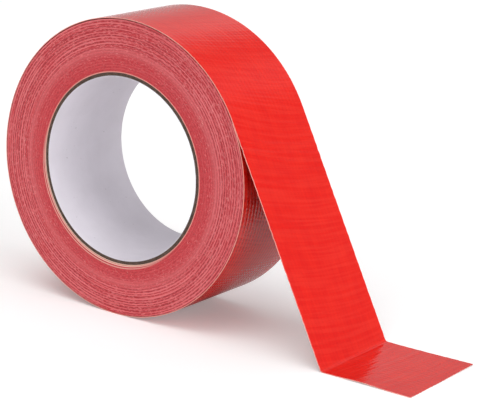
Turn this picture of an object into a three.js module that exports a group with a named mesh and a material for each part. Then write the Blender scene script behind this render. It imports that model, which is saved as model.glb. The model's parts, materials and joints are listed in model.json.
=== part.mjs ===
// A part-used roll of 48 mm cloth duct tape, standing on its edge with its free end pulled off.
//
// The roll's axis runs along Y and its front side faces -Y. The tape comes over the top of the
// roll, leaves it on the +X side, runs straight down to the surface and ends in a short flap that
// lies flat. One strip of tape is a laminate of film, cloth scrim and adhesive. It is divided
// where it bends: the last turn on the roll, the tail in the air and the flap on the surface.
// Millimetres, +Z up. The origin is the centre of the base of the whole object's box.

import * as THREE from 'three';

// Driving dimensions.

const TAPE_WIDTH = 48; // and the core's, which is cut flush with the tape
const ROLL_DIAMETER = 123.4;
const TAIL_ANGLE = 27.5; // degrees above the axis, on the +X side, where the tail leaves the roll
const FLAP_LENGTH = 40; // from the corner where the tail's line meets the flap's line
const CREASE_RADIUS = 1.5; // of the film in the bend between tail and flap

const CORE_BORE = 76;
const INNER_LINER = 0.2;
const BOARD_PLY = 0.43;
const BOARD_PLIES = 3;
const OUTER_LINER = 0.4;

const FILM = 0.09;
const SCRIM = 0.08;
const ADHESIVE = 0.06;

const LAYER_GAP = 0.02; // between layers that are bonded face to face
const SPLIT_GAP = 0.05; // across the strip, where it is divided at a bend
const TURN_CLEARANCE = 0.1; // between the windings and the last turn, which slides round them

const SIDES = 96; // of every round piece, so that layers lie facet to facet
const CREASE_STEPS = 4; // in each half of the bend

// Values that follow from them.

const ROLL_RADIUS = ROLL_DIAMETER / 2;
const TAPE_THICKNESS = FILM + LAYER_GAP + SCRIM + LAYER_GAP + ADHESIVE;
const TURN_PITCH = TAPE_THICKNESS + LAYER_GAP;
const WINDINGS_RADIUS = ROLL_RADIUS - TURN_PITCH - TAPE_THICKNESS - TURN_CLEARANCE;
const TANGENT = THREE.MathUtils.degToRad(TAIL_ANGLE);
const DOWN = Math.PI / 2;

// The strip's layers, each with its depth below the film's outer surface.
const STRIP_LAYERS = [
  { name: 'film', top: 0, thickness: FILM },
  { name: 'scrim', top: FILM + LAYER_GAP, thickness: SCRIM },
  { name: 'adhesive', top: FILM + LAYER_GAP + SCRIM + LAYER_GAP, thickness: ADHESIVE },
];

// Materials, one for each kind of stuff.

function stuff(color, roughness) {
  return new THREE.MeshStandardMaterial({ color, roughness, metalness: 0 });
}

const STRIP_STUFF = {
  film: stuff(0xe53328, 0.35),
  scrim: stuff(0xd9a29a, 0.9),
  adhesive: stuff(0xdcc4b2, 0.6),
};
const WINDINGS_STUFF = stuff(0xc65458, 0.6);
const WHITE_PAPER = stuff(0xe4e0e6, 0.8);
const GREY_BOARD = stuff(0x6a4f44, 0.95);
const CREAM_PAPER = stuff(0xd8b8a8, 0.9);

// Outlines lie in the XZ plane with the roll's axis at (0, 0).

function polar(radius, angle) {
  return new THREE.Vector2(radius * Math.cos(angle), radius * Math.sin(angle));
}

function circle(radius) {
  const points = [];
  for (let i = 0; i < SIDES; i += 1) points.push(polar(radius, (2 * Math.PI * i) / SIDES));
  return points;
}

// One piece: an outline carried across the roll's width, centred on the XZ plane.
function across(name, shape, width, material) {
  const geometry = new THREE.ExtrudeGeometry(shape, { depth: width, bevelEnabled: false });
  geometry.translate(0, 0, -width / 2);
  geometry.rotateX(Math.PI / 2);
  const mesh = new THREE.Mesh(geometry, material);
  mesh.name = name;
  return mesh;
}

function tube(name, innerRadius, outerRadius, width, material) {
  const shape = new THREE.Shape(circle(outerRadius));
  shape.holes.push(new THREE.Path(circle(innerRadius)));
  return across(name, shape, width, material);
}

// A layer of the strip: it lies between two lines that both follow the strip's path, one at the
// layer's top and one at its underside. path(depth) gives the line at a depth below the film.
function layer(part, { name, top, thickness }, path) {
  const outline = [...path(top), ...path(top + thickness).reverse()];
  return across(`${part}_${name}`, new THREE.Shape(outline), TAPE_WIDTH, STRIP_STUFF[name]);
}

// The core: paper and board strips wound on each other into a tube.

function core() {
  const plies = [{ name: 'core_inner_liner', thickness: INNER_LINER, material: WHITE_PAPER }];
  for (let i = 1; i <= BOARD_PLIES; i += 1) {
    plies.push({ name: `core_board_ply_${i}`, thickness: BOARD_PLY, material: GREY_BOARD });
  }
  plies.push({ name: 'core_outer_liner', thickness: OUTER_LINER, material: CREAM_PAPER });
  let radius = CORE_BORE / 2;
  return plies.map(({ name, thickness, material }) => {
    const mesh = tube(name, radius, radius + thickness, TAPE_WIDTH, material);
    radius += thickness + LAYER_GAP;
    return mesh;
  });
}

function coreRadius() {
  const gaps = (BOARD_PLIES + 2) * LAYER_GAP;
  return CORE_BORE / 2 + INNER_LINER + BOARD_PLIES * BOARD_PLY + OUTER_LINER + gaps;
}

// The wound tape under the last turn.

function windings() {
  return tube('tape_windings', coreRadius(), WINDINGS_RADIUS, TAPE_WIDTH, WINDINGS_STUFF);
}

// The last turn: a spiral that starts under the tail's end of the strip and sinks by one pitch
// in one turn, so that it passes below its own start.

function turnRadius(turned) {
  return ROLL_RADIUS - TURN_PITCH * (turned / (2 * Math.PI));
}

function turnPath(depth) {
  const points = [];
  for (let i = 0; i <= SIDES; i += 1) {
    const turned = (2 * Math.PI * i) / SIDES;
    points.push(polar(turnRadius(turned) - depth, TANGENT + turned));
  }
  return points;
}

// The surface that the roll stands on, as far below the axis as the last turn reaches.
const SURFACE = -turnRadius(1.5 * Math.PI - TANGENT);

// The bend between the tail and the flap, about a centre on the film's side. It starts square to
// the tail and ends square to the flap.
const OUTWARD = polar(1, TANGENT);
const ALONG_TAIL = polar(1, TANGENT - Math.PI / 2);
const FLAP_TOP = SURFACE + TAPE_THICKNESS;
const TAIL_LENGTH = ((ROLL_RADIUS + CREASE_RADIUS) * OUTWARD.y - FLAP_TOP - CREASE_RADIUS)
  / -ALONG_TAIL.y;
const CREASE_CENTRE = polar(ROLL_RADIUS + CREASE_RADIUS, TANGENT)
  .addScaledVector(ALONG_TAIL, TAIL_LENGTH);
const CREASE_MIDDLE = (TANGENT + DOWN) / 2;
const CREASE_TURN = DOWN - TANGENT;
const FLAP_END = CREASE_CENTRE.x - CREASE_RADIUS * Math.tan(CREASE_TURN / 2) + FLAP_LENGTH;

function creasePoint(depth, angle) {
  return CREASE_CENTRE.clone().addScaledVector(polar(1, angle), -CREASE_RADIUS - depth);
}

function creaseArc(depth, from, to) {
  const points = [];
  for (let i = 0; i <= CREASE_STEPS; i += 1) {
    points.push(creasePoint(depth, from + ((to - from) * i) / CREASE_STEPS));
  }
  return points;
}

function tailPath(depth) {
  const start = polar(ROLL_RADIUS - depth, TANGENT).addScaledVector(ALONG_TAIL, SPLIT_GAP);
  return [start, ...creaseArc(depth, TANGENT, CREASE_MIDDLE)];
}

function flapPath(depth) {
  const split = SPLIT_GAP / (CREASE_RADIUS + TAPE_THICKNESS / 2);
  return [
    ...creaseArc(depth, CREASE_MIDDLE + split, DOWN),
    new THREE.Vector2(FLAP_END, FLAP_TOP - depth),
  ];
}

// The whole object, stood on its base.

function tapeRoll() {
  const roll = new THREE.Group();
  roll.add(...core(), windings());
  for (const [part, path] of [['outer_turn', turnPath], ['tail', tailPath], ['flap', flapPath]]) {
    roll.add(...STRIP_LAYERS.map((stripLayer) => layer(part, stripLayer, path)));
  }
  const box = new THREE.Box3().setFromObject(roll);
  roll.position.set(-(box.min.x + box.max.x) / 2, 0, -box.min.z);
  return roll;
}

export default tapeRoll();
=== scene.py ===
"""A part-used roll of red cloth duct tape that stands on its edge on a white table.

The tape comes over the top of the roll, leaves it on the +X side, slants down to the table and
ends in a flap that lies flat. Every surface is worked out with numpy on a grid of two numbers.
The strip of tape is one such sheet, measured by s, the length along it from the line where it
leaves the roll, and v, the place across its width. Metres, with +Z up and the roll's axis on Y.
"""

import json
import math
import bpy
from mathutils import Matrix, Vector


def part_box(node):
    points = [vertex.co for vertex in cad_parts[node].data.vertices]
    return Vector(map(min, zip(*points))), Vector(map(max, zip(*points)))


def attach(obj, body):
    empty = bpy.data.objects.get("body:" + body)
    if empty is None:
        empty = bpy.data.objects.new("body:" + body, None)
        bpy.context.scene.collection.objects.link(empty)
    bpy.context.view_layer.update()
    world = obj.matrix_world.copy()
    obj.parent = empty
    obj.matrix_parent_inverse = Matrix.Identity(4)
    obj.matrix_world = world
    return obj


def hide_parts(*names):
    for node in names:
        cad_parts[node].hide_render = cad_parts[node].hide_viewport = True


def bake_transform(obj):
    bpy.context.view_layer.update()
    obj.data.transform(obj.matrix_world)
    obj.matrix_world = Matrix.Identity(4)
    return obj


bl_info = {
    "name": "Duct Tape Roll",
    "version": (1, 0, 0),
    "blender": (4, 5, 0),
    "location": "3D View > Sidebar > Tape Roll",
    "description": "A roll of cloth duct tape with its free end pulled off",
    "category": "Add Mesh",
}

import bpy
import numpy as np
from bpy.props import FloatProperty, FloatVectorProperty, IntProperty, PointerProperty
from mathutils import Matrix, Vector

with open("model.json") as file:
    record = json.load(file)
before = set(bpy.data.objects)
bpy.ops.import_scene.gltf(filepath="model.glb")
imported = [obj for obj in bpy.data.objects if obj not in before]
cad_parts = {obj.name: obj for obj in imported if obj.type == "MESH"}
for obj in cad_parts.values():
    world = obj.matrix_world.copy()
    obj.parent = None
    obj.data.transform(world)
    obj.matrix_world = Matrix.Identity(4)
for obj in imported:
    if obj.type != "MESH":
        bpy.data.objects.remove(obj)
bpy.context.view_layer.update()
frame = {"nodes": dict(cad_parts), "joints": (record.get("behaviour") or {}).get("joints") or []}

MM = 0.001
TURN = 2 * math.pi


# ---------------------------------------------------------------- places taken from the frame


def joint_place(name):
    """x and z of a joint's axis."""
    joint = next(j for j in frame["joints"] if j["name"] == name)
    return np.array([joint["pos_m"][0], joint["pos_m"][2]])


AXIS = joint_place("unwind")
TANGENT_POINT = joint_place("tail_peel")
CREASE_POINT = joint_place("flap_fold")


def ring_radii(node):
    """Smallest and largest distance of a CAD ring's corners from the roll's axis."""
    corners = np.array([corner.co for corner in frame["nodes"][node].data.vertices])
    distance = np.hypot(corners[:, 0] - AXIS[0], corners[:, 2] - AXIS[1])
    return float(distance.min()), float(distance.max())


def flap_height():
    """Height of the flap's face: the CAD film's highest point among those at its far end."""
    corners = np.array([corner.co for corner in frame["nodes"]["flap_film"].data.vertices])
    return float(corners[corners[:, 0] > FLAP_END - MM, 2].max())


RADIUS = float(np.hypot(*(TANGENT_POINT - AXIS)))
TANGENT = math.atan2(*(TANGENT_POINT - AXIS)[::-1])
ALONG = np.array([math.sin(TANGENT), -math.cos(TANGENT)])
HALF_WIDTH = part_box("tail_film")[1].y
FLAP_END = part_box("flap_film")[1].x

# The strip's layers: depth of the top and the underside below the film's face. The whole strip is
# as thick as the CAD's, and the layers meet more closely, as bonded layers do.
LAYERS = {
    "film": (0.00 * MM, 0.095 * MM),
    "scrim": (0.10 * MM, 0.195 * MM),
    "adhesive": (0.20 * MM, 0.27 * MM),
}
# How much of the weave shows on a layer's finer face, and which way from the line it stands.
WEAVE_SHARE = {"face": 1.0, "under": -0.4, "": 0.0}
TURN_PITCH = 0.29 * MM  # how far one turn brings the strip below its own start

# The fold's axis lies on the film's face in the middle of the bend, so its height above the
# flap's face gives the bend's radius.
CREASE_MIDDLE = (TANGENT + math.pi / 2) / 2
CREASE_RADIUS = (CREASE_POINT[1] - flap_height()) / (1 - math.sin(CREASE_MIDDLE))
CREASE_CENTRE = CREASE_POINT + CREASE_RADIUS * np.array(
    [math.cos(CREASE_MIDDLE), math.sin(CREASE_MIDDLE)]
)
TAIL_LENGTH = float((CREASE_CENTRE - TANGENT_POINT) @ ALONG)
BEND_LENGTH = CREASE_RADIUS * (math.pi / 2 - TANGENT)
FLAP_START = TAIL_LENGTH + BEND_LENGTH
STRIP_END = FLAP_START + FLAP_END - float(CREASE_CENTRE[0])

# Where one piece of the strip hands over to the next: on the roll's far side from the tail, this
# angle back from where the tail leaves it, and this share of the way down the tail.
BACK_SEAM = -RADIUS * math.radians(150)
TAIL_SEAM = 0.32 * TAIL_LENGTH
TURN_END = -RADIUS * TURN


# ---------------------------------------------------------------- settings


def linear(hex_colour):
    """An sRGB hex colour as the linear colour that shaders take."""
    channels = [int(hex_colour[i : i + 2], 16) / 255 for i in (0, 2, 4)]
    return tuple(
        c / 12.92 if c <= 0.04045 else ((c + 0.055) / 1.055) ** 2.4 for c in channels
    )


def colour(name, hex_colour, description):
    return FloatVectorProperty(
        name=name, description=description, subtype="COLOR", size=3, min=0, max=1,
        default=linear(hex_colour),
    )


def size(name, value, description):
    return FloatProperty(
        name=name, description=description, default=value, min=0, precision=5, unit="LENGTH"
    )


class TapeSizes(bpy.types.PropertyGroup):
    """Sizes of the detail on the roll that a user would change."""

    warp_pitch: size("Warp pitch", 2.2 * MM, "Spacing between the cloth's lengthwise threads")
    weft_pitch: size("Weft pitch", 1.8 * MM, "Spacing between the cloth's cross threads")
    weave_height: size("Weave height", 0.020 * MM, "How high a thread stands under the film")
    ripple_height: size("Ripple height", 0.075 * MM, "Height of the tail's cross ripples")
    flap_lift: size("Flap lift", 0.45 * MM, "How far the flap's edge rises off the table")
    turn_step: size("Turn step", 0.05 * MM, "How far one wound turn stands proud of the next")
    fibre_count: IntProperty(
        name="Edge fibres",
        description="Cut cloth fibres on each side of the roll",
        default=900,
        min=0,
    )


class TapeColours(bpy.types.PropertyGroup):
    """Colours of the roll's materials."""

    film: colour("Film", "E01A0C", "The polyethylene film")
    film_deep: colour("Film, deep", "DA130A", "The film where its pigment is densest")
    adhesive: colour("Adhesive", "A5685C", "The rubber adhesive over the cloth")
    thread: colour("Thread", "F6CBC2", "The cloth's threads")
    edge: colour("Cut edge", "D93941", "The cut edges of the wound tape")
    # Painted shade: this darker red lays shade into the sunken lines and pits of the cut edges, and it
    # also gives them a faint random darker tone.
    edge_dark: colour("Cut edge, dark", "A81C27", "Sunken turns among the cut edges")
    edge_pale: colour("Cut edge, pale", "F58A8E", "Cut threads among the cut edges")
    edge_cream: colour("First turn", "FFD9C8", "The loose edge of the first turn")
    paper: colour("Liner paper", "E1DCE4", "The white paper inside the core")
    board: colour("Core board", "42352C", "The raw cut board of the core")
    outer_paper: colour("Outer paper", "F6CDB8", "The cream paper round the core")
    # Painted shade: this darker red lays the shade of the valleys between threads onto the film.
    film_valley: colour("Film, valley", "8E0306", "The red film in the valleys between threads")
    # Painted highlight: this paler red is laid in faint stripes along the cross threads.
    film_thin: colour("Film, thin", "FF5A46", "The red film where it is drawn thin over a thread")
    rim: colour("Slit rim", "FFA89C", "The film and cloth at the slit edges, whitened by the knife")
    outer_stain: colour("Outer paper, stained", "F2A196", "The same paper where adhesive covers it")


# ---------------------------------------------------------------- mesh building


def outward(points, faces):
    """The faces, turned over if the closed surface that they make is inside out.

    The volume under each face is the triple product of its corners, and their sum is positive
    when the faces point out.
    """
    a, b, c, d = (points[faces[:, i]] for i in range(4))
    volume = np.einsum("ij,ij->i", a, np.cross(b, c)) + np.einsum(
        "ij,ij->i", a, np.cross(c, d)
    )
    return faces[:, ::-1] if volume.sum() < 0 else faces


def add_mesh(name, points, faces, uv, caps, material, sharp=40):
    """A finished piece from an (n, 3) array of points, an (f, 4) array of faces and caps.

    uv gives each point's place on the piece's own map, as an (n, 2) array, or each corner's, as
    an (f, 4, 2) one. A cap is a ring of point numbers that closes an open end.
    """
    mesh = bpy.data.meshes.new(name)
    loops = np.concatenate([faces.ravel(), *caps]).astype(np.int32)
    lengths = np.concatenate([np.full(len(faces), 4), [len(cap) for cap in caps]])
    starts = np.concatenate([[0], np.cumsum(lengths)[:-1]]).astype(np.int32)
    mesh.vertices.add(len(points))
    mesh.vertices.foreach_set("co", points.astype(np.float32).ravel())
    mesh.loops.add(len(loops))
    mesh.loops.foreach_set("vertex_index", loops)
    mesh.polygons.add(len(starts))
    mesh.polygons.foreach_set("loop_start", starts)
    mesh.polygons.foreach_set("use_smooth", np.ones(len(starts), bool))
    corners = uv.reshape(-1, 2) if uv.ndim == 3 else uv[loops]
    extra = len(loops) - len(corners)
    corners = np.concatenate([corners, np.zeros((extra, 2))]) if extra else corners
    layer = mesh.uv_layers.new(name="surface")
    layer.data.foreach_set("uv", corners.astype(np.float32).ravel())
    mesh.update(calc_edges=True)
    mesh.validate()
    mesh.set_sharp_from_angle(angle=math.radians(sharp))
    mesh.materials.append(material)
    piece = bpy.data.objects.new(name, mesh)
    bpy.context.scene.collection.objects.link(piece)
    return piece


def grid_faces(rows, columns, rows_close, columns_close):
    """Quads over a rows by columns grid of points, which may close on itself either way."""
    i, j = np.meshgrid(
        np.arange(rows - (not rows_close)),
        np.arange(columns - (not columns_close)),
        indexing="ij",
    )
    i, j = i.ravel(), j.ravel()
    i_next, j_next = (i + 1) % rows, (j + 1) % columns
    return np.stack(
        [
            i * columns + j,
            i_next * columns + j,
            i_next * columns + j_next,
            i * columns + j_next,
        ],
        axis=1,
    ), np.stack([i, j], axis=1)


# ---------------------------------------------------------------- the strip's shape


def strip_line(s):
    """Points (x, z) on the film's face and their normals, at lengths s along the strip.

    On the roll the line is a spiral that sinks by one pitch a turn. The tail is straight, the
    bend is an arc about a centre on the film's side, and the flap is level.
    """
    turned = -s / RADIUS
    roll_angle = TANGENT + turned
    roll_radius = RADIUS - TURN_PITCH * turned / TURN
    bend_angle = TANGENT + (s - TAIL_LENGTH) / CREASE_RADIUS
    parts = [s <= 0, s <= TAIL_LENGTH, s <= FLAP_START]
    x = np.select(
        parts,
        [
            AXIS[0] + roll_radius * np.cos(roll_angle),
            TANGENT_POINT[0] + s * ALONG[0],
            CREASE_CENTRE[0] - CREASE_RADIUS * np.cos(bend_angle),
        ],
        CREASE_CENTRE[0] + s - FLAP_START,
    )
    z = np.select(
        parts,
        [
            AXIS[1] + roll_radius * np.sin(roll_angle),
            TANGENT_POINT[1] + s * ALONG[1],
            CREASE_CENTRE[1] - CREASE_RADIUS * np.sin(bend_angle),
        ],
        CREASE_CENTRE[1] - CREASE_RADIUS,
    )
    angle = np.select(parts, [roll_angle, TANGENT, bend_angle], math.pi / 2)
    return np.stack([x, z], -1), np.stack([np.cos(angle), np.sin(angle)], -1)


def smooth_step(low, high, value):
    """0 below low and 1 above high, with a soft rise between them."""
    t = np.clip((value - low) / (high - low), 0, 1)
    return t * t * (3 - 2 * t)


LOOSE_MIDDLE = math.radians(236)  # the side of the core where the first turn is loose
LOOSE_COSINES = (0.1, 0.9)  # the cosines from that middle where it starts and is fully loose
LOOSE_RIDGES = (0.4 * MM, 1.45 * MM)  # how far its two edges then lie from the core

WEFT_SKEW = 0.24  # the cross threads slant by this share of the way across, on the roll
TAIL_SKEW = 0.35  # and by this share of that at the tail's foot
WEFT_BOW = 2.2  # and bow, in metres along the strip for each square metre across


def weft_place(s, v):
    """Length along the strip, measured along the slanting and bowed cross threads."""
    skew = WEFT_SKEW * (1 + (TAIL_SKEW - 1) * np.clip(s / TAIL_LENGTH, 0, 1))
    return s - skew * v + WEFT_BOW * v * v


def ripple(s, v):
    """Cross ripples: a sum of sine waves that follow the cross threads, with drifting phases."""
    rng = np.random.default_rng(11)
    place = weft_place(s, v)
    total = np.zeros(np.broadcast(s, v).shape)
    for length in np.array([3.3, 4.0, 4.1, 5.2, 7.0]) * MM:
        phase, drift = rng.uniform(0, TURN), rng.uniform(0.5, 1.2)
        drift_length = rng.uniform(25, 60) * MM
        wander = drift * np.sin(v / (9 * MM) + s / drift_length + phase)
        total += np.sin(TURN * place / length + phase + wander)
    return total / 3


def streaks(v):
    """Ridges along the strip, where a wound turn lies over uneven turns: mostly within -1 and 1."""
    rng = np.random.default_rng(5)
    total = np.zeros_like(v)
    for length in np.array([2.7, 4.3, 7.1, 13.0]) * MM:
        total += np.sin(TURN * v / length + rng.uniform(0, TURN))
    return total / 3


def flap_rise(s, v, height):
    """The flap's unevenness: its front edge humps near its middle and its back corner lifts."""
    along = np.clip(s - FLAP_START, 0, None)
    front = 0.5 - v / (2 * HALF_WIDTH)
    hump = np.exp(-(((along - 17 * MM) / (8 * MM)) ** 2)) * front**2
    corner = smooth_step(0, STRIP_END - FLAP_START, along) ** 2 * (1 - front) ** 2
    return height * (hump + 0.6 * corner) * smooth_step(0, 8 * MM, along)


def strip_lift(s, v, sizes):
    """How far the whole strip, all its layers together, stands off its plain line."""
    off_roll = smooth_step(0, 12 * MM, s)
    settled = 1 - 0.5 * smooth_step(FLAP_START, FLAP_START + 10 * MM, s)
    near_seam = smooth_step(0, 3 * MM, np.abs(s - TAIL_SEAM))
    ripples = sizes.ripple_height * ripple(s, v) * (0.12 + 0.88 * off_roll) * settled
    ridges = 0.012 * MM * streaks(v) * (1 - off_roll)
    lift = ripples * near_seam + ridges
    return lift + flap_rise(s, v, sizes.flap_lift)


def weave_relief(s, v, sizes):
    """The cloth's threads pressed into a face of the strip, as two sets of round ridges."""
    warp = np.cos(TURN * v / sizes.warp_pitch)
    weft = np.cos(TURN * weft_place(s, v) / sizes.weft_pitch)
    return sizes.weave_height * (0.5 * warp + 0.5 * weft)


FEW = 13  # points across a face that has no weave
FINE_STEP, COARSE_STEP = 0.45 * MM, 1.0 * MM  # from one row along the strip to the next


def strip_piece(name, first, last, layer, fine, material, sizes):
    """One layer of the strip between lengths first and last, as a closed sheet.

    Its section is a loop of points round the layer: across its face and back across its
    underside. The loop is carried along the strip's line, and a cap closes each end. The face
    named by fine has a point every fifth of a thread spacing across it. The other has a few.
    """
    top, under = LAYERS[layer]
    many = int(round(2 * HALF_WIDTH / (sizes.warp_pitch / 5))) + 1
    across_top = np.linspace(-HALF_WIDTH, HALF_WIDTH, many if fine == "face" else FEW)
    across_under = np.linspace(HALF_WIDTH, -HALF_WIDTH, many if fine == "under" else FEW)
    v = np.concatenate([across_top, across_under])[None, :]
    depth = np.concatenate(
        [np.full(across_top.size, top), np.full(across_under.size, under)]
    )
    step = FINE_STEP if fine else COARSE_STEP
    s = np.linspace(first, last, int((last - first) / step) + 2)[:, None]
    on_fine_face = (depth == top) == (fine == "face")
    relief = WEAVE_SHARE[fine] * on_fine_face * weave_relief(s, v, sizes)
    line, normal = strip_line(s[:, 0])
    stand = strip_lift(s, v, sizes) - depth[None, :] + relief
    plan = line[:, None, :] + normal[:, None, :] * stand[..., None]
    y = np.broadcast_to(v, stand.shape) * (1 + edge_waver(s))
    points = np.stack([plan[..., 0], y, plan[..., 1]], -1)
    rows, columns = stand.shape
    faces, _ = grid_faces(rows, columns, False, True)
    flat = points.reshape(-1, 3)
    turned = outward(flat, faces)
    ring = np.arange(columns)
    caps = [ring, ring[::-1] + (rows - 1) * columns]
    if turned is not faces:
        caps = [caps[0][::-1], caps[1][::-1]]
    uv = np.stack([np.broadcast_to(s, stand.shape), np.broadcast_to(v, stand.shape)], -1)
    return add_mesh(name, flat, turned, uv.reshape(-1, 2), caps, material)


def edge_waver(s):
    """The slit edges wander a little: the share by which the width grows or shrinks."""
    return 0.0012 * np.sin(s / (7 * MM)) + 0.0008 * np.sin(s / (2.3 * MM) + 1)


# ---------------------------------------------------------------- rings


def ring_piece(name, section, material, rows, shift, sharp=40):
    """A ring: a closed loop of (radius, y) points carried once round the roll's axis.

    shift gives how far each point moves along Y, from the loop's radii, its ys and the angles.
    """
    angle = np.linspace(0, TURN, rows, endpoint=False)[:, None]
    radius, y = section[None, :, 0], section[None, :, 1]
    moved = y + shift(radius, y, angle)
    points = np.stack(
        [
            AXIS[0] + radius * np.cos(angle),
            np.broadcast_to(moved, (rows, section.shape[0])),
            AXIS[1] + radius * np.sin(angle),
        ],
        -1,
    ).reshape(-1, 3)
    faces, cells = grid_faces(rows, section.shape[0], True, True)
    turned = outward(points, faces)
    # Round the ring the map runs on past the closing row, so that no face spans the whole map.
    middle = float(section[:, 0].mean())
    length = np.append(angle[:, 0], TURN) * middle
    closed = np.concatenate([section, section[:1]])
    walk = np.append(0, np.cumsum(np.hypot(*np.diff(closed, axis=0).T)))
    i, j = cells.T
    lengths = length[np.stack([i, i + 1, i + 1, i], -1)]
    walks = walk[np.stack([j, j, j + 1, j + 1], -1)]
    corners = np.stack([lengths, walks], -1)
    if turned is not faces:
        corners = corners[:, ::-1]
    return add_mesh(name, points, turned, corners, [], material, sharp)


def wall_section(inner, outer, half_width, steps, edge):
    """A tube wall's section: down its inner wall and back up its outer one, with eased edges."""
    ease = min(edge, (outer - inner) / 3)
    ys = np.linspace(-half_width + ease, half_width - ease, steps)
    inside = np.stack([np.full(steps, inner), ys], -1)
    outside = np.stack([np.full(steps, outer), ys[::-1]], -1)
    back = [[inner + ease, half_width], [outer - ease, half_width]]
    front = [[outer - ease, -half_width], [inner + ease, -half_width]]
    return np.concatenate([inside, back, outside, front])


def layered_noise(u, lengths, seed):
    """A sum of sine waves of the given lengths with random phases, mostly within -1 and 1."""
    rng = np.random.default_rng(seed)
    phases = rng.uniform(0, TURN, len(lengths))
    sines = [np.sin(TURN * u / length + p) for length, p in zip(lengths, phases)]
    return sum(sines) / len(lengths) ** 0.5 / 1.5


def loose_start(angle):
    """How far the first turn has come away from the core: 1 at the lower left, 0 elsewhere."""
    return smooth_step(*LOOSE_COSINES, np.cos(angle - LOOSE_MIDDLE))


def side_relief(radius, angle, sizes):
    """How far the cut edges of the wound turns stand proud of the side, by place on it.

    The lines follow the strip as it spirals out, so the height is a function of the radius less
    the pitch for each turn of angle. The outer turns, wound last, stand more unevenly. The edge
    of the loose first turn makes two low ridges beside the core.
    """
    core_radius, full_radius = WOUND
    share = (radius - core_radius) / (full_radius - core_radius)
    spiral = radius - TURN_PITCH * angle / TURN
    fine = layered_noise(spiral, np.array([0.58, 0.87, 1.16, 1.45]) * MM, 3)
    broad = layered_noise(spiral, np.array([2.3, 3.7, 6.1]) * MM, 4)
    sway = 0.75 + 0.25 * np.sin(2 * angle + 40 * share)
    loose = 0.25 + 0.75 * smooth_step(0.3, 0.6, share)
    relief = loose * sway * fine + 0.35 * broad
    gone = loose_start(angle)
    for offset in LOOSE_RIDGES:
        ridge = np.clip(1 - np.abs(radius - core_radius - offset * gone) / (0.3 * MM), 0, 1)
        relief += 1.2 * gone * ridge
    return sizes.turn_step * relief - 0.06 * MM


# ---------------------------------------------------------------- materials


def node(tree, kind, inputs=(), **settings):
    """Adds a shader node, with its settings and its inputs, each a value or another's output."""
    made = tree.nodes.new("ShaderNode" + kind)
    for key, value in settings.items():
        setattr(made, key, value)
    for key, value in dict(inputs).items():
        if isinstance(value, bpy.types.NodeSocket):
            tree.links.new(value, made.inputs[key])
        else:
            made.inputs[key].default_value = value
    return made


def new_material(name, roughness, ior=1.5, **sockets):
    """A material with a Principled shader whose plain values are set on its own sockets."""
    material = bpy.data.materials.new(name)
    material.use_nodes = True
    tree = material.node_tree
    tree.nodes.clear()
    shader = node(tree, "BsdfPrincipled", {"Roughness": roughness, "IOR": ior})
    for key, value in sockets.items():
        shader.inputs[key.replace("_", " ")].default_value = value
    output = node(tree, "OutputMaterial", {"Surface": shader.outputs["BSDF"]})
    output.is_active_output = True
    return material, tree, shader


def mix(tree, share, a, b):
    """Colour b laid over colour a by a share."""
    made = node(tree, "Mix", data_type="RGBA")
    for socket, value in zip((made.inputs[0], made.inputs[6], made.inputs[7]), (share, a, b)):
        if isinstance(value, bpy.types.NodeSocket):
            tree.links.new(value, socket)
        else:
            socket.default_value = value if isinstance(value, float) else (*value, 1)
    return made.outputs[2]


def stretch(tree, value, low, high, to_low=0.0, to_high=1.0):
    """A value mapped from one range to another, and kept inside it."""
    inputs = {0: value, 1: low, 2: high, 3: to_low, 4: to_high}
    return node(tree, "MapRange", inputs, clamp=True).outputs[0]


def maths(tree, operation, a, b=0.0):
    """A sum on one or two values."""
    return node(tree, "Math", {0: a, 1: b}, operation=operation).outputs[0]


def times(tree, a, b):
    """Two values multiplied."""
    return maths(tree, "MULTIPLY", a, b)


def strip_map(tree):
    """The piece's own map: s along the strip and v across it, in metres."""
    return node(tree, "UVMap", uv_map="surface").outputs["UV"]


def noise(tree, vector, scale, detail=3.0):
    """Soft noise between 0 and 1, with scale marks to a metre."""
    inputs = {"Vector": vector, "Scale": scale, "Detail": detail, "Roughness": 0.55}
    return node(tree, "TexNoise", inputs).outputs["Fac"]


def scaled(tree, vector, factors):
    """A vector with each of its parts multiplied by its own factor."""
    return node(tree, "VectorMath", {0: vector, 1: factors}, operation="MULTIPLY").outputs[0]


def facing(tree, direction, middle):
    """How nearly a direction points along a middle one: the cosine between them."""
    inputs = {0: direction, 1: middle}
    return node(tree, "VectorMath", inputs, operation="DOT_PRODUCT").outputs["Value"]


def bump(tree, height, distance, shader):
    """Relief in the shading alone: a height of 1 stands distance proud."""
    made = node(tree, "Bump", {"Height": height, "Distance": distance, "Strength": 1.0})
    tree.links.new(made.outputs[0], shader.inputs["Normal"])


def waves(tree, place, pitch):
    """Round ridges, one for each pitch of a place in metres: a cosine between 0 and 1."""
    turns = times(tree, place, TURN / pitch)
    return stretch(tree, maths(tree, "COSINE", turns), -1.0, 1.0)


def parts(tree, vector):
    """A vector's three parts."""
    return node(tree, "SeparateXYZ", {0: vector}).outputs


def thread_ridges(tree, sizes):
    """The cloth under the film, in the same places as the ridges in the mesh."""
    s, v, _ = parts(tree, strip_map(tree))
    warp = waves(tree, v, sizes.warp_pitch)
    return warp, waves(tree, along_weft(tree, s, v), sizes.weft_pitch)


def along_weft(tree, s, v):
    """Length along the strip, measured along the cross threads, as weft_place has it."""
    bow = times(tree, times(tree, v, v), WEFT_BOW)
    skew = stretch(tree, s, 0.0, TAIL_LENGTH, WEFT_SKEW, WEFT_SKEW * TAIL_SKEW)
    slant = maths(tree, "SUBTRACT", bow, times(tree, v, skew))
    return maths(tree, "ADD", s, slant)


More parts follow.
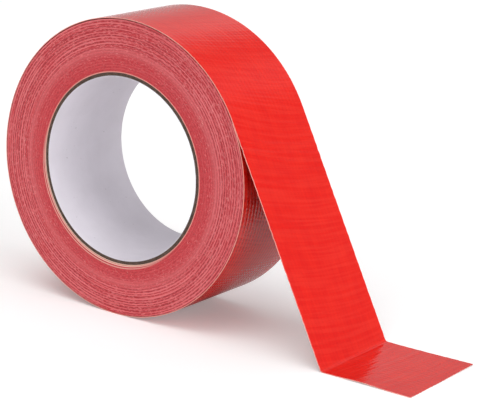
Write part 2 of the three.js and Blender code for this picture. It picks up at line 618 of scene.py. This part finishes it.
def whiten_rim(tree, shade, colours):
    """The slit edges of the strip in a paler colour, which fades out within 0.16 mm of them."""
    _, across, _ = parts(tree, strip_map(tree))
    inward = maths(tree, "SUBTRACT", HALF_WIDTH, maths(tree, "ABSOLUTE", across))
    return mix(tree, stretch(tree, inward, 0.16 * MM, 0.06 * MM), shade, colours.rim)


PRESSED_RUN = 60 * MM  # the length over which the last turn tightens, past its back seam


def film_material(sizes, colours):
    """Polyethylene film, pigmented red and pressed hot onto cloth.

    It is a smooth satin plastic: it mirrors its surroundings softly at low angles, and the
    threads under it break the mirror up into fine lines. They show most on the last turn from
    the back seam round the bottom to its start, which is still pulled tight over its cloth.
    Painted shade darkens the valleys between the threads, most on that tight stretch, and faint
    paler stripes along the cross threads are a painted highlight.
    """
    material, tree, shader = new_material("pe_film_on_cloth", 0.2, 1.46)
    place = strip_map(tree)
    broad = noise(tree, scaled(tree, place, (60.0, 160.0, 1.0)), 1.0, 3.0)
    share = stretch(tree, broad, 0.35, 0.65)
    red = mix(tree, share, colours.film, colours.film_deep)
    warp, weft = thread_ridges(tree, sizes)
    s = parts(tree, place)[0]
    pressed = stretch(tree, s, BACK_SEAM, BACK_SEAM - PRESSED_RUN)
    depth = maths(tree, "ADD", times(tree, pressed, 0.6), 0.07)
    crown = maths(tree, "MAXIMUM", warp, times(tree, weft, 0.6))
    valley = maths(tree, "SUBTRACT", 1.0, crown)
    # Painted shade: the valleys between the threads are darkened, more where the turn is pulled tight.
    red = mix(tree, times(tree, valley, depth), red, colours.film_valley)
    sheen = stretch(tree, pressed, 0.0, 1.0, 0.5, 0.3)
    tree.links.new(sheen, shader.inputs["Specular IOR Level"])
    # Painted highlight: faint paler stripes along the cross threads.
    thin = stretch(tree, highlight_stripes(tree, place), 0.42, 0.62)
    red = mix(tree, times(tree, thin, 0.09), red, colours.film_thin)
    tree.links.new(whiten_rim(tree, red, colours), shader.inputs["Base Color"])
    worn = noise(tree, place, 900.0, 4.0)
    tree.links.new(stretch(tree, worn, 0.3, 0.7, 0.08, 0.16), shader.inputs["Roughness"])
    grain = noise(tree, place, 4500.0, 2.0)
    threads = maths(tree, "ADD", times(tree, warp, 1.8), weft)
    tightness = maths(tree, "ADD", times(tree, pressed, 1.5), 0.3)
    threads = times(tree, threads, tightness)
    height = maths(tree, "ADD", threads, times(tree, grain, 0.4))
    bump(tree, height, 0.018 * MM, shader)
    return material


def highlight_stripes(tree, place):
    """Long soft noise along the cross threads, which lays faint painted highlight stripes on the film.
    """
    s, v, _ = parts(tree, place)
    along = times(tree, along_weft(tree, s, v), 620.0)
    across = times(tree, v, 28.0)
    vector = node(tree, "CombineXYZ", {0: along, 1: across}).outputs[0]
    return noise(tree, vector, 1.0, 2.0)


def scrim_material(sizes, colours):
    """Open woven cotton and polyester threads: dull, pale and fibrous."""
    material, tree, shader = new_material("woven_scrim", 0.9, 1.45)
    warp, weft = thread_ridges(tree, sizes)
    share = stretch(tree, maths(tree, "MAXIMUM", warp, weft), 0.3, 0.8)
    shade = mix(tree, share, colours.adhesive, colours.thread)
    tree.links.new(whiten_rim(tree, shade, colours), shader.inputs["Base Color"])
    bump(tree, maths(tree, "ADD", warp, weft), 0.02 * MM, shader)
    return material


def adhesive_material(sizes, colours):
    """Natural rubber adhesive rolled into the cloth: a tacky sheen over a visible thread grid."""
    material, tree, shader = new_material("rubber_adhesive", 0.4, 1.52)
    place = strip_map(tree)
    warp, weft = thread_ridges(tree, sizes)
    threads = stretch(tree, maths(tree, "MAXIMUM", warp, weft), 0.55, 0.95)
    patch = stretch(tree, noise(tree, place, 260.0, 5.0), 0.35, 0.7)
    base = mix(tree, times(tree, patch, 0.35), colours.adhesive, colours.edge)
    shade = mix(tree, times(tree, threads, 0.4), base, colours.thread)
    tree.links.new(whiten_rim(tree, shade, colours), shader.inputs["Base Color"])
    height = maths(tree, "ADD", maths(tree, "ADD", warp, weft), noise(tree, place, 1800.0))
    bump(tree, height, 0.02 * MM, shader)
    return material


def roll_place(tree):
    """Radius from the roll's axis, the unit direction from it, and the place measured from it."""
    place = node(tree, "TexCoord").outputs["Object"]
    inputs = {0: place, 1: (AXIS[0], 0, AXIS[1])}
    centred = node(tree, "VectorMath", inputs, operation="SUBTRACT").outputs[0]
    level = scaled(tree, centred, (1.0, 0.0, 1.0))
    radius = node(tree, "VectorMath", {0: level}, operation="LENGTH").outputs["Value"]
    direction = node(tree, "VectorMath", {0: level}, operation="NORMALIZE").outputs[0]
    return radius, direction, centred


def arc_noise(tree, radius, direction, per_mm, arc_mm, detail=2.0):
    """Noise drawn out into arcs round the axis: per_mm marks to a millimetre of radius, each
    about arc_mm long at the middle of the wound tape."""
    around = scaled(tree, direction, (50 / arc_mm,) * 3)
    outwards = node(tree, "CombineXYZ", {1: times(tree, radius, per_mm / MM)})
    inputs = {0: around, 1: outwards.outputs[0]}
    vector = node(tree, "VectorMath", inputs, operation="ADD").outputs[0]
    return noise(tree, vector, 1.0, detail)


LINE_PITCH = 1.15 * MM  # from one drawn line on the side to the next: about four turns
TIGHT_EDGE = 0.38  # where the tight inner turns end, as a share of the wound tape


def cut_edge_material(colours):
    """The knife-cut edges of the wound turns: red film and pale cut threads, layer on layer.

    Long fine lines follow the turns, and cut cross threads dot them with short pale dashes. The
    sunken lines and small pits among them are darkened with painted shade. The inner third was
    wound tight and is plainer and redder. Its turns are 0.29 mm apart, which is too fine to show,
    so the lines stand about four turns apart.
    """
    material, tree, shader = new_material("slit_tape_edges", 0.5, 1.5)
    radius, direction, place = roll_place(tree)
    inner, outer = WOUND
    share = stretch(tree, radius, inner, outer)
    loose = stretch(tree, share, 0.25, 0.5, 0.25, 1.0)
    drift = arc_noise(tree, radius, direction, 0.35, 60)
    phase = maths(tree, "ADD", times(tree, radius, 1 / LINE_PITCH), drift)
    turns = maths(tree, "SINE", times(tree, phase, TURN))
    uneven = maths(tree, "SUBTRACT", arc_noise(tree, radius, direction, 1.9, 30), 0.5)
    lines = maths(tree, "ADD", turns, times(tree, uneven, 5.0))
    hollow = stretch(tree, lines, 0.1, -1.0)
    proud = stretch(tree, lines, 0.1, 1.3)
    dashes = stretch(tree, arc_noise(tree, radius, direction, 2.6, 1.3, 3.0), 0.48, 0.66)
    dashes = times(tree, dashes, stretch(tree, share, 0.12, 0.4, 0.3, 1.0))
    pits = stretch(tree, arc_noise(tree, radius, direction, 2.9, 1.0, 3.0), 0.52, 0.32)
    hatch = stretch(tree, noise(tree, place, 1800.0, 2.0), 0.35, 0.65)
    band = stretch(tree, maths(tree, "ABSOLUTE", maths(tree, "SUBTRACT", share, TIGHT_EDGE)), 0.13, 0.0)
    # Painted shade: the sunken lines and the small pits are darkened.
    dark = times(tree, times(tree, hollow, loose), 0.8)
    dark = maths(tree, "MAXIMUM", dark, times(tree, pits, 0.75))
    body = mix(tree, dark, colours.edge, colours.edge_dark)
    body = mix(tree, times(tree, hatch, 0.2), body, colours.edge_dark)
    pale = times(tree, times(tree, proud, loose), 0.75)
    pale = maths(tree, "MAXIMUM", pale, times(tree, dashes, 0.7))
    pale = maths(tree, "MAXIMUM", pale, times(tree, band, 0.35))
    body = mix(tree, pale, body, colours.edge_pale)
    body = first_turn_lines(tree, body, radius, direction, colours)
    tree.links.new(body, shader.inputs["Base Color"])
    height = maths(tree, "ADD", maths(tree, "SUBTRACT", proud, hollow), dashes)
    bump(tree, maths(tree, "ADD", height, hatch), 0.03 * MM, shader)
    return material


def first_turn_lines(tree, body, radius, direction, colours):
    """The loose first turn's cream edges, drawn where side_relief raises them."""
    gone = first_turn_gap(tree, direction)
    from_core = maths(tree, "SUBTRACT", radius, WOUND[0])
    for offset, strength in zip(LOOSE_RIDGES, (0.95, 0.6)):
        where = times(tree, gone, offset)
        off_line = maths(tree, "ABSOLUTE", maths(tree, "SUBTRACT", from_core, where))
        line = stretch(tree, off_line, 0.30 * MM, 0.12 * MM)
        shown = times(tree, times(tree, line, gone), strength)
        body = mix(tree, shown, body, colours.edge_cream)
    return body


def outer_paper_material(colours):
    """Matt cream paper. Adhesive from the first turn stains it, except where the turn is loose."""
    material, tree, shader = new_material("cream_kraft_paper", 0.85, 1.45)
    _, direction, place = roll_place(tree)
    gone = first_turn_gap(tree, direction)
    shade = mix(tree, gone, colours.outer_stain, colours.outer_paper)
    cloud = stretch(tree, noise(tree, place, 400.0, 4.0), 0.35, 0.65)
    shade = mix(tree, times(tree, cloud, 0.15), shade, colours.board)
    tree.links.new(shade, shader.inputs["Base Color"])
    bump(tree, noise(tree, place, 2600.0, 4.0), 0.01 * MM, shader)
    return material


def first_turn_gap(tree, direction):
    """The share by which the first turn is loose at a direction, as loose_start has it."""
    middle = (math.cos(LOOSE_MIDDLE), 0.0, math.sin(LOOSE_MIDDLE))
    inputs = {0: facing(tree, direction, middle), 1: LOOSE_COSINES[0], 2: LOOSE_COSINES[1]}
    return node(tree, "MapRange", inputs, interpolation_type="SMOOTHSTEP").outputs[0]


# The liner's one joint line climbs this far in a turn, as a 100 mm wide strip does at this bore.
JOINT_LEAD = 110 * MM


def liner_material(colours):
    """Smooth white liner paper, wound as a spiral with a fine butt joint between its turns."""
    material, tree, shader = new_material("white_liner_paper", 0.62, 1.45)
    _, _, place = roll_place(tree)
    around, across, _ = parts(tree, strip_map(tree))
    inner = ring_radii("core_inner_liner")[0]
    turns = maths(tree, "DIVIDE", around, TURN * (inner + 0.1 * MM))
    climb = times(tree, across, 1 / JOINT_LEAD)
    phase = maths(tree, "FRACT", maths(tree, "ADD", maths(tree, "ADD", turns, climb), 0.31))
    nearness = maths(tree, "ABSOLUTE", maths(tree, "SUBTRACT", phase, 0.5))
    joint = stretch(tree, nearness, 0.0, 0.0016, 1.0, 0.0)
    cloud = stretch(tree, noise(tree, place, 90.0, 4.0), 0.35, 0.65)
    specks = stretch(tree, noise(tree, place, 700.0, 1.0), 0.77, 0.80)
    shade = mix(tree, times(tree, cloud, 0.05), colours.paper, colours.board)
    mark = maths(tree, "MAXIMUM", times(tree, joint, 0.35), specks)
    shade = mix(tree, times(tree, mark, 0.4), shade, colours.board)
    tree.links.new(shade, shader.inputs["Base Color"])
    tooth = maths(tree, "SUBTRACT", noise(tree, place, 2200.0, 4.0), joint)
    bump(tree, tooth, 0.012 * MM, shader)
    return material


def board_material(colours):
    """Raw cut grey-brown board: dull, with short fibres that are a little lighter."""
    material, tree, shader = new_material("raw_core_board", 0.95, 1.45)
    radius, direction, place = roll_place(tree)
    fibres = stretch(tree, arc_noise(tree, radius, direction, 3.0, 2.0, 4.0), 0.35, 0.7)
    shade = mix(tree, times(tree, fibres, 0.15), colours.board, colours.outer_paper)
    tree.links.new(shade, shader.inputs["Base Color"])
    bump(tree, noise(tree, place, 3000.0, 4.0), 0.04 * MM, shader)
    return material


def fibre_material(colours):
    """Loose cut cotton fibres: dull, in patches from pink to nearly white."""
    material, tree, shader = new_material("cut_cotton_fibre", 0.85, 1.45)
    place = node(tree, "TexCoord").outputs["Object"]
    share = stretch(tree, noise(tree, place, 300.0, 1.0), 0.35, 0.65)
    shade = mix(tree, share, colours.edge_pale, colours.thread)
    tree.links.new(shade, shader.inputs["Base Color"])
    return material


WOUND = ring_radii("tape_windings")


# ---------------------------------------------------------------- operators


def settings(context):
    return context.scene.tape_sizes, context.scene.tape_colours


class ROLL_OT_core(bpy.types.Operator):
    """Build the paper core: a white liner, three board plies and a cream outer paper"""

    bl_idname = "tape_roll.core"
    bl_label = "Core"

    def execute(self, context):
        _, colours = settings(context)
        board, liner = board_material(colours), liner_material(colours)
        cream = outer_paper_material(colours)
        plies = [
            ("liner", "core_inner_liner", liner, "liner_paper", 0.02),
            ("inner_board", "core_board_ply_1", board, "core_board", 0.06),
            ("middle_board", "core_board_ply_2", board, "core_board", 0.06),
            ("outer_board", "core_board_ply_3", board, "core_board", 0.06),
            ("outer_paper", "core_outer_liner", cream, "outer_paper", 0.04),
        ]
        for seed, (name, cad, material, slot, edge) in enumerate(plies):
            inner, outer = ring_radii(cad)
            section = wall_section(inner, outer, HALF_WIDTH, 25, edge * MM)
            rough = 0.02 if name == "liner" else 0.05

            def fray(_, y, angle, rough=rough, seed=seed):
                """The cut edges of a ply are uneven by a few hundredths of a millimetre."""
                around = layered_noise(angle * 40 * MM, np.array([1.6, 2.9, 6.4]) * MM, seed)
                at_edge = np.abs(y) > HALF_WIDTH - 0.2 * MM
                return rough * MM * around * at_edge * np.sign(y)

            piece = ring_piece(name, section, material, 360, fray)
            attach(piece, "roll")
            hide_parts(cad)
        return {"FINISHED"}


class ROLL_OT_wound_tape(bpy.types.Operator):
    """Build the wound tape, with the cut edges of its turns on both sides"""

    bl_idname = "tape_roll.wound_tape"
    bl_label = "Wound tape"

    def execute(self, context):
        sizes, colours = settings(context)
        inner, outer = WOUND
        radii = np.linspace(inner, outer, 104)
        front = np.stack([radii, np.full(radii.size, -HALF_WIDTH)], -1)
        back = np.stack([radii[::-1], np.full(radii.size, HALF_WIDTH)], -1)

        def layers(radius, y, angle):
            """Each side's relief stands out along Y, away from the middle of the roll."""
            return np.sign(y) * side_relief(radius, angle, sizes)

        section = np.concatenate([front, back])
        material = cut_edge_material(colours)
        piece = ring_piece("wound_tape", section, material, 440, layers, 60)
        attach(piece, "roll")
        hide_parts("tape_windings")
        return {"FINISHED"}


class ROLL_OT_edge_fibres(bpy.types.Operator):
    """Scatter cut cloth fibres over both sides of the wound tape"""

    bl_idname = "tape_roll.edge_fibres"
    bl_label = "Edge fibres"

    def execute(self, context):
        sizes, colours = settings(context)
        material = fibre_material(colours)
        for seed, (name, side) in enumerate((("front_fibres", -1), ("back_fibres", 1))):
            piece = fibre_piece(name, side, 21 + seed, material, sizes)
            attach(piece, "roll")
        return {"FINISHED"}


def fibre_piece(name, side, seed, material, sizes):
    """Fibres that lie on one side of the roll.

    Each starts at a random radius and angle and runs roughly along the turns. Its line is that
    start plus a run in the side's plane, whose direction turns evenly with the way along it.
    Four points round the line at each of five places make its skin.
    """
    rng = np.random.default_rng(seed)
    count, places, sides = sizes.fibre_count, 5, 4
    inner, outer = WOUND
    share = rng.beta(1.6, 1.1, count)
    radius = inner + 0.8 * MM + (outer - inner - 1.6 * MM) * share
    angle = rng.uniform(0, TURN, count)
    length = rng.uniform(0.4, 1.5, count) * MM
    tilt = rng.normal(0, 0.35, count) + math.pi / 2 * rng.choice([1, -1], count)
    curl = rng.normal(0, 0.35, count)
    thick = rng.uniform(0.022, 0.04, count) * MM
    t = np.linspace(0, 1, places)[None, :]
    run = angle[:, None] + tilt[:, None] + curl[:, None] * t
    x = AXIS[0] + radius[:, None] * np.cos(angle)[:, None] + length[:, None] * t * np.cos(run)
    z = AXIS[1] + radius[:, None] * np.sin(angle)[:, None] + length[:, None] * t * np.sin(run)
    here = np.hypot(x - AXIS[0], z - AXIS[1])
    there = np.arctan2(z - AXIS[1], x - AXIS[0]) % TURN
    arch = rng.uniform(0.0, 0.12, count)[:, None] * MM * np.sin(math.pi * t)
    y = side * (HALF_WIDTH + side_relief(here, there, sizes) + arch)
    around = np.arange(sides) * TURN / sides + math.pi / 4
    fat = thick[:, None] * (1 - 0.75 * t**2)
    flat_x, flat_z = -np.sin(run), np.cos(run)
    ring_flat = fat[..., None] * np.cos(around)
    ring_out = fat[..., None] * np.sin(around)
    points = np.stack(
        [
            x[..., None] + flat_x[..., None] * ring_flat,
            y[..., None] + side * ring_out,
            z[..., None] + flat_z[..., None] * ring_flat,
        ],
        -1,
    )
    one, _ = grid_faces(places, sides, False, True)
    ends = np.array([[0, 1, 2, 3], [3, 2, 1, 0]]) + [[0] * 4, [(places - 1) * sides] * 4]
    one = closed_outward(points[0].reshape(-1, 3), one, ends, places, sides)
    faces = (one[None] + (np.arange(count) * places * sides)[:, None, None]).reshape(-1, 4)
    flat = points.reshape(-1, 3)
    return add_mesh(name, flat, faces, flat[:, [0, 2]], [], material)


def points_in(points, face, inside):
    """Whether a face's normal points the way from its middle to a place inside."""
    a, b, c = points[face[:3]]
    return np.dot(np.cross(b - a, c - a), points[face].mean(0) - inside) < 0


def closed_outward(points, skin, ends, places, sides):
    """One fibre's skin and its two end faces, each turned over if it points in."""
    centre = points.mean(0)
    ends = [end[::-1] if points_in(points, end, centre) else end for end in ends]
    line = points.reshape(places, sides, 3).mean(1)
    if points_in(points, skin[0], line[:2].mean(0)):
        skin = skin[:, ::-1]
    return np.concatenate([skin, ends])


class ROLL_OT_strip(bpy.types.Operator):
    """Build the last turn, the tail and the flap, each in its three layers"""

    bl_idname = "tape_roll.strip"
    bl_label = "Last turn, tail and flap"

    def execute(self, context):
        sizes, colours = settings(context)
        stuff = {
            "film": (film_material(sizes, colours), "face"),
            "scrim": (scrim_material(sizes, colours), ""),
            "adhesive": (adhesive_material(sizes, colours), "under"),
        }
        stretches = (
            ("turn_back", TURN_END, BACK_SEAM, "outer_turn", "stretched", ["wound_tape"]),
            ("turn_to_tail", BACK_SEAM, TAIL_SEAM, "tail", "stretched", ["wound_tape"]),
            ("tail_to_flap", TAIL_SEAM, STRIP_END, "flap", "laid", []),
        )
        for name, first, last, cad, held, rests_on in stretches:
            for layer, (material, fine) in stuff.items():
                piece = strip_piece(
                    f"{name}_{layer}", first, last, layer, fine, material, sizes
                )
                join_to_bodies(piece, name)
                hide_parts(f"{cad}_{layer}")
        return {"FINISHED"}


def strip_point(s):
    """The point of the row frame at length s along the middle of the strip."""
    (x, z), _ = (row[0] for row in strip_line(np.array([s])))
    return x, 0.0, z


def join_to_bodies(piece, name):
    """Attaches the last turn's piece to its body and bakes the other pieces' transforms into their
    meshes; the ends of the tail's top and foot bends are worked out but not used.
    """
    if name == "turn_back":
        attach(piece, "last_turn")
    elif name == "turn_to_tail":
        start, end = strip_point(-1 * MM), strip_point(9 * MM)
        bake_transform(piece)
    else:
        start, end = strip_point(TAIL_LENGTH - 3 * MM), strip_point(FLAP_START + 3 * MM)
        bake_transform(piece)


# ---------------------------------------------------------------- stage and camera


# Each softbox's azimuth, from the front round to the right, its elevation and its half width, all
# in degrees, and its brightness.
SOFTBOXES = (
    (0, 48, 28, 1.27),  # above the front
    (0, 70, 18, 1.65),
    (0, 90, 32, 0.78),
    (80, 12, 28, 3.85),  # the key, low on the right
    (150, 12, 28, 0.27),
    (-145, 12, 28, 0.5),
    (180, 48, 28, 0.26),
)
SOFTBOX_FADE = (0.7, 1.3)  # a softbox fades out between these shares of its half width
ROOM_LIGHT = 0.015  # the dim room's own brightness, the same all round

TABLE_REACH = 6.0  # metres from the middle of the table to each of its edges
TABLE_DROP = 0.02 * MM  # how far the table lies under the row's own floor
TABLE_WHITE = (0.9, 0.9, 0.9, 1)
TABLE_GLOW = 0.21  # how much the table shines for the camera

CAMERA_AZIMUTH, CAMERA_ELEVATION, CAMERA_TIP = 34.66, 15.26, 2.89  # degrees
CAMERA_DISTANCE = 12.68 * RADIUS
CAMERA_AIM = (AXIS[0] + 0.725 * RADIUS, 0, AXIS[1] - 0.147 * RADIUS)
LENS_MM, SENSOR_MM = 143.6, 36


def direction_to(azimuth, elevation):
    """The unit vector at an azimuth, from the front round to the right, and a height, in degrees."""
    around, up = math.radians(azimuth), math.radians(elevation)
    return (
        math.sin(around) * math.cos(up),
        -math.cos(around) * math.cos(up),
        math.sin(up),
    )


class ROLL_OT_stage(bpy.types.Operator):
    """Add the white table, and the softboxes round it and above it"""

    bl_idname = "tape_roll.stage"
    bl_label = "Table and light"

    def execute(self, context):
        corners = TABLE_REACH * np.array([[-1.0, -1.0], [1.0, -1.0], [1.0, 1.0], [-1.0, 1.0]])
        points = np.column_stack([corners, np.full(4, -TABLE_DROP)])
        material, tree, shader = new_material(
            "white_acrylic_table",
            0.9,
            1.45,
            Base_Color=TABLE_WHITE,
            Specular_IOR_Level=0.1,
            Emission_Color=(1, 1, 1, 1),
        )
        # The table shines for the camera alone, so it looks whiter and lights nothing.
        seen = node(tree, "LightPath").outputs["Is Camera Ray"]
        tree.links.new(times(tree, seen, TABLE_GLOW), shader.inputs["Emission Strength"])
        table = add_mesh("table", points, np.array([[0, 1, 2, 3]]), points[:, :2], [], material)
        self.surroundings(context)
        context.scene.view_settings.view_transform = "Standard"
        return {"FINISHED"}

    def surroundings(self, context):
        """Softboxes far off in a dim room: round patches of light that fade at their edges."""
        world = bpy.data.worlds.new("studio")
        context.scene.world = world
        world.use_nodes = True
        tree = world.node_tree
        tree.nodes.clear()
        way = node(tree, "TexCoord").outputs["Generated"]
        total = ROOM_LIGHT
        for azimuth, elevation, half, strength in SOFTBOXES:
            near = facing(tree, way, direction_to(azimuth, elevation))
            inner, outer = (math.cos(math.radians(half * k)) for k in SOFTBOX_FADE)
            inputs = {0: near, 1: outer, 2: inner, 3: 0.0, 4: strength}
            patch = node(tree, "MapRange", inputs, interpolation_type="SMOOTHSTEP").outputs[0]
            total = maths(tree, "ADD", patch, total)
        sky = node(tree, "Background", {"Color": (1, 1, 1, 1), "Strength": total})
        node(tree, "OutputWorld", {"Surface": sky.outputs[0]})


class ROLL_OT_camera(bpy.types.Operator):
    """Set up the camera: to the right, a little above, and tipped by a few degrees"""

    bl_idname = "tape_roll.camera"
    bl_label = "Camera"

    def execute(self, context):
        back = Vector(direction_to(CAMERA_AZIMUTH, CAMERA_ELEVATION))
        lens = bpy.data.cameras.new("camera")
        lens.lens = LENS_MM
        lens.sensor_width = SENSOR_MM
        lens.clip_start, lens.clip_end = 0.05, 50
        camera = bpy.data.objects.new("camera", lens)
        level = (-back).to_track_quat("-Z", "Y").to_matrix()
        turned = (level @ Matrix.Rotation(math.radians(CAMERA_TIP), 3, "Z")).to_4x4()
        turned.translation = Vector(CAMERA_AIM) + back * CAMERA_DISTANCE
        camera.matrix_world = turned
        context.scene.collection.objects.link(camera)
        context.scene.camera = camera
        return {"FINISHED"}


class ROLL_PT_panel(bpy.types.Panel):
    """Lists the operators and the settings that they read"""

    bl_label = "Tape Roll"
    bl_idname = "ROLL_PT_panel"
    bl_space_type = "VIEW_3D"
    bl_region_type = "UI"
    bl_category = "Tape Roll"

    def draw(self, context):
        for operator in OPERATORS:
            self.layout.operator(operator.bl_idname)
        for group in settings(context):
            box = self.layout.box()
            for name in group.__annotations__:
                box.prop(group, name)


OPERATORS = (
    ROLL_OT_camera,
    ROLL_OT_stage,
    ROLL_OT_core,
    ROLL_OT_wound_tape,
    ROLL_OT_edge_fibres,
    ROLL_OT_strip,
)
CLASSES = (TapeSizes, TapeColours, *OPERATORS, ROLL_PT_panel)


def register():
    for cls in CLASSES:
        bpy.utils.register_class(cls)
    bpy.types.Scene.tape_sizes = PointerProperty(type=TapeSizes)
    bpy.types.Scene.tape_colours = PointerProperty(type=TapeColours)


def unregister():
    del bpy.types.Scene.tape_colours
    del bpy.types.Scene.tape_sizes
    for cls in reversed(CLASSES):
        bpy.utils.unregister_class(cls)


def main():
    """Builds everything."""
    register()
    bpy.ops.tape_roll.camera()
    bpy.ops.tape_roll.stage()
    bpy.ops.tape_roll.core()
    bpy.ops.tape_roll.wound_tape()
    bpy.ops.tape_roll.edge_fibres()
    bpy.ops.tape_roll.strip()


if __name__ == "__main__":
    main()
